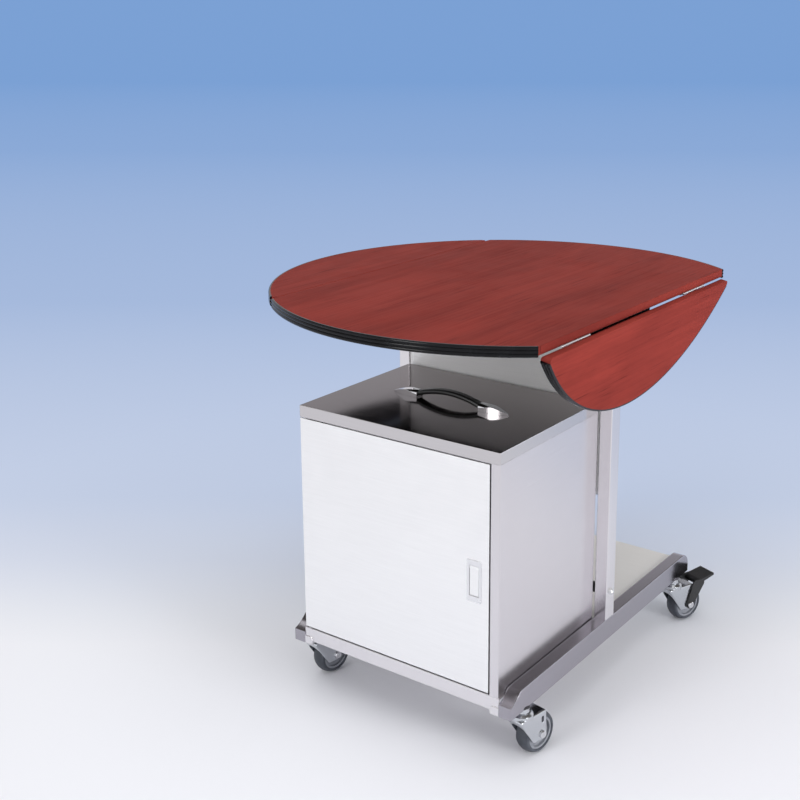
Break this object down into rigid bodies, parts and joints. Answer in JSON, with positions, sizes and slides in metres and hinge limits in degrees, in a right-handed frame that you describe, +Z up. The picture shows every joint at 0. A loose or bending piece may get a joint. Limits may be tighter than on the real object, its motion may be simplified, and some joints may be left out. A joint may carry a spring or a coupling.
{
  "type": "food transport trolley",
  "caption": "Food trolley on casters: round wood-grain drop-leaf table top on two columns over a base with a portable insulated steel box with a hinged door and a carrying handle.",
  "frame": {"origin": "on the floor, under the centre of the round top", "axes": "+Z up; -Y towards the box door, the trolley's front; +X towards the leaf that hangs down"},
  "size_m": [0.7429, 0.8998, 0.75],
  "materials": {
    "satin_steel": "satin stainless steel sheet and tube",
    "door_steel": "bright satin stainless steel sheet",
    "lid_steel": "polished stainless steel sheet",
    "liner_steel": "polished stainless steel sheet",
    "bright_steel": "bright zinc-plated steel",
    "laminate": "dark red wood-grain laminate on board, satin",
    "edging": "ribbed black plastic edging",
    "foam": "rigid insulating foam",
    "caster_zinc": "zinc-plated pressed steel",
    "wheel_core": "grey moulded plastic",
    "tyre": "grey rubber tread",
    "black_plastic": "black moulded plastic",
    "black_metal": "black coated steel",
    "grip_rubber": "black rubber",
    "handle_chrome": "polished plating",
    "gasket": "dark grey rubber"
  },
  "bodies": {
    "frame": {"left_rail": "satin_steel", "right_rail": "satin_steel", "caster_sockets": "bright_steel", "box_tray": "satin_steel", "rear_deck": "satin_steel", "left_column": "satin_steel", "right_column": "satin_steel", "left_bearer": "satin_steel", "right_bearer": "satin_steel", "upper_back_panel": "satin_steel", "tie_rod": "black_metal", "tie_rod_nuts": "bright_steel", "front_cross_channel": "bright_steel", "rear_cross_channel": "bright_steel", "table_screws": "bright_steel", "center_panel": "laminate", "center_edging": "edging", "fixed_hinge_plates": "bright_steel", "hinge_pins": "bright_steel", "caster_kingpins": "caster_zinc"},
    "left_leaf": {"left_leaf_panel": "laminate", "left_leaf_edging": "edging", "left_hinge_plates": "bright_steel"},
    "right_leaf": {"right_leaf_panel": "laminate", "right_leaf_edging": "edging", "right_hinge_plates": "bright_steel"},
    "hot_box": {"box_shell": "satin_steel", "box_liner": "liner_steel", "box_insulation": "foam", "box_lid": "lid_steel", "handle_grip": "grip_rubber", "handle_ends": "handle_chrome", "shelf": "liner_steel", "door_hinge_pins": "bright_steel"},
    "door": {"door_skin": "door_steel", "door_liner": "liner_steel", "door_insulation": "foam", "door_gasket": "gasket", "latch_pan": "door_steel"},
    "latch_paddle": {"latch_paddle": "door_steel"},
    "latch_bolt": {"latch_bolt": "bright_steel"},
    "front_left_swivel": {"front_left_fork": "caster_zinc", "front_left_axle": "bright_steel"},
    "front_left_wheel": {"front_left_wheel_core": "wheel_core", "front_left_tyre": "tyre"},
    "front_right_swivel": {"front_right_fork": "caster_zinc", "front_right_axle": "bright_steel"},
    "front_right_wheel": {"front_right_wheel_core": "wheel_core", "front_right_tyre": "tyre"},
    "rear_left_swivel": {"rear_left_fork": "caster_zinc", "rear_left_axle": "bright_steel"},
    "rear_left_wheel": {"rear_left_wheel_core": "wheel_core", "rear_left_tyre": "tyre"},
    "rear_left_pedal": {"rear_left_brake_pedal": "black_plastic"},
    "rear_right_swivel": {"rear_right_fork": "caster_zinc", "rear_right_axle": "bright_steel"},
    "rear_right_wheel": {"rear_right_wheel_core": "wheel_core", "rear_right_tyre": "tyre"},
    "rear_right_pedal": {"rear_right_brake_pedal": "black_plastic"}
  },
  "joints": [
    {"name": "right_leaf_hinge", "type": "hinge", "parent": "frame", "child": "right_leaf", "pos_m": [0.2781, 0, 0.7345], "axis": [0, -1, 0], "range_deg": [0, 101]},
    {"name": "left_leaf_hinge", "type": "hinge", "parent": "frame", "child": "left_leaf", "pos_m": [-0.2781, 0, 0.7345], "axis": [0, -1, 0], "range_deg": [0, 101]},
    {"name": "box_lift_out", "type": "slide", "parent": "frame", "child": "hot_box", "axis": [0, -1, 0], "range_m": [0, 0.35]},
    {"name": "door_hinge", "type": "hinge", "parent": "hot_box", "child": "door", "pos_m": [-0.2065, -0.3505, 0.337], "axis": [0, 0, -1], "range_deg": [0, 110]},
    {"name": "latch_press", "type": "hinge", "parent": "door", "child": "latch_paddle", "pos_m": [0.1645, -0.3572, 0.353], "axis": [1, 0, 0], "range_deg": [0, 8], "stiffness_Nm_per_rad": 0.3},
    {"name": "bolt_draw", "type": "slide", "parent": "door", "child": "latch_bolt", "axis": [-1, 0, 0], "range_m": [0, 0.0091]},
    {"name": "front_left_caster_swivel", "type": "hinge", "parent": "frame", "child": "front_left_swivel", "pos_m": [-0.23, -0.308, 0.09], "axis": [0, 0, 1], "continuous": true},
    {"name": "front_left_wheel_spin", "type": "hinge", "parent": "front_left_swivel", "child": "front_left_wheel", "pos_m": [-0.22527, -0.27433, 0.0375], "axis": [0.9903, -0.1392, 0], "continuous": true},
    {"name": "front_right_caster_swivel", "type": "hinge", "parent": "frame", "child": "front_right_swivel", "pos_m": [0.23, -0.308, 0.09], "axis": [0, 0, 1], "continuous": true},
    {"name": "front_right_wheel_spin", "type": "hinge", "parent": "front_right_swivel", "child": "front_right_wheel", "pos_m": [0.2359, -0.27452, 0.0375], "axis": [0.9848, -0.1736, 0], "continuous": true},
    {"name": "rear_left_caster_swivel", "type": "hinge", "parent": "frame", "child": "rear_left_swivel", "pos_m": [-0.23, 0.284, 0.09], "axis": [0, 0, 1], "continuous": true},
    {"name": "rear_left_wheel_spin", "type": "hinge", "parent": "rear_left_swivel", "child": "rear_left_wheel", "pos_m": [-0.23707, 0.31726, 0.0375], "axis": [0.9781, 0.2079, 0], "continuous": true},
    {"name": "rear_left_brake", "type": "hinge", "parent": "rear_left_swivel", "child": "rear_left_pedal", "pos_m": [-0.23707, 0.31726, 0.0375], "axis": [-0.9781, -0.2079, 0], "range_deg": [0, 15]},
    {"name": "rear_right_caster_swivel", "type": "hinge", "parent": "frame", "child": "rear_right_swivel", "pos_m": [0.23, 0.284, 0.09], "axis": [0, 0, 1], "continuous": true},
    {"name": "rear_right_wheel_spin", "type": "hinge", "parent": "rear_right_swivel", "child": "rear_right_wheel", "pos_m": [0.24274, 0.31552, 0.0375], "axis": [0.9272, -0.3746, 0], "continuous": true},
    {"name": "rear_right_brake", "type": "hinge", "parent": "rear_right_swivel", "child": "rear_right_pedal", "pos_m": [0.24274, 0.31552, 0.0375], "axis": [-0.9272, 0.3746, 0], "range_deg": [0, 15]}
  ],
  "couplings": [
    {"joint": "bolt_draw", "follows": "latch_press", "m_per_rad": 0.0608}
  ]
}
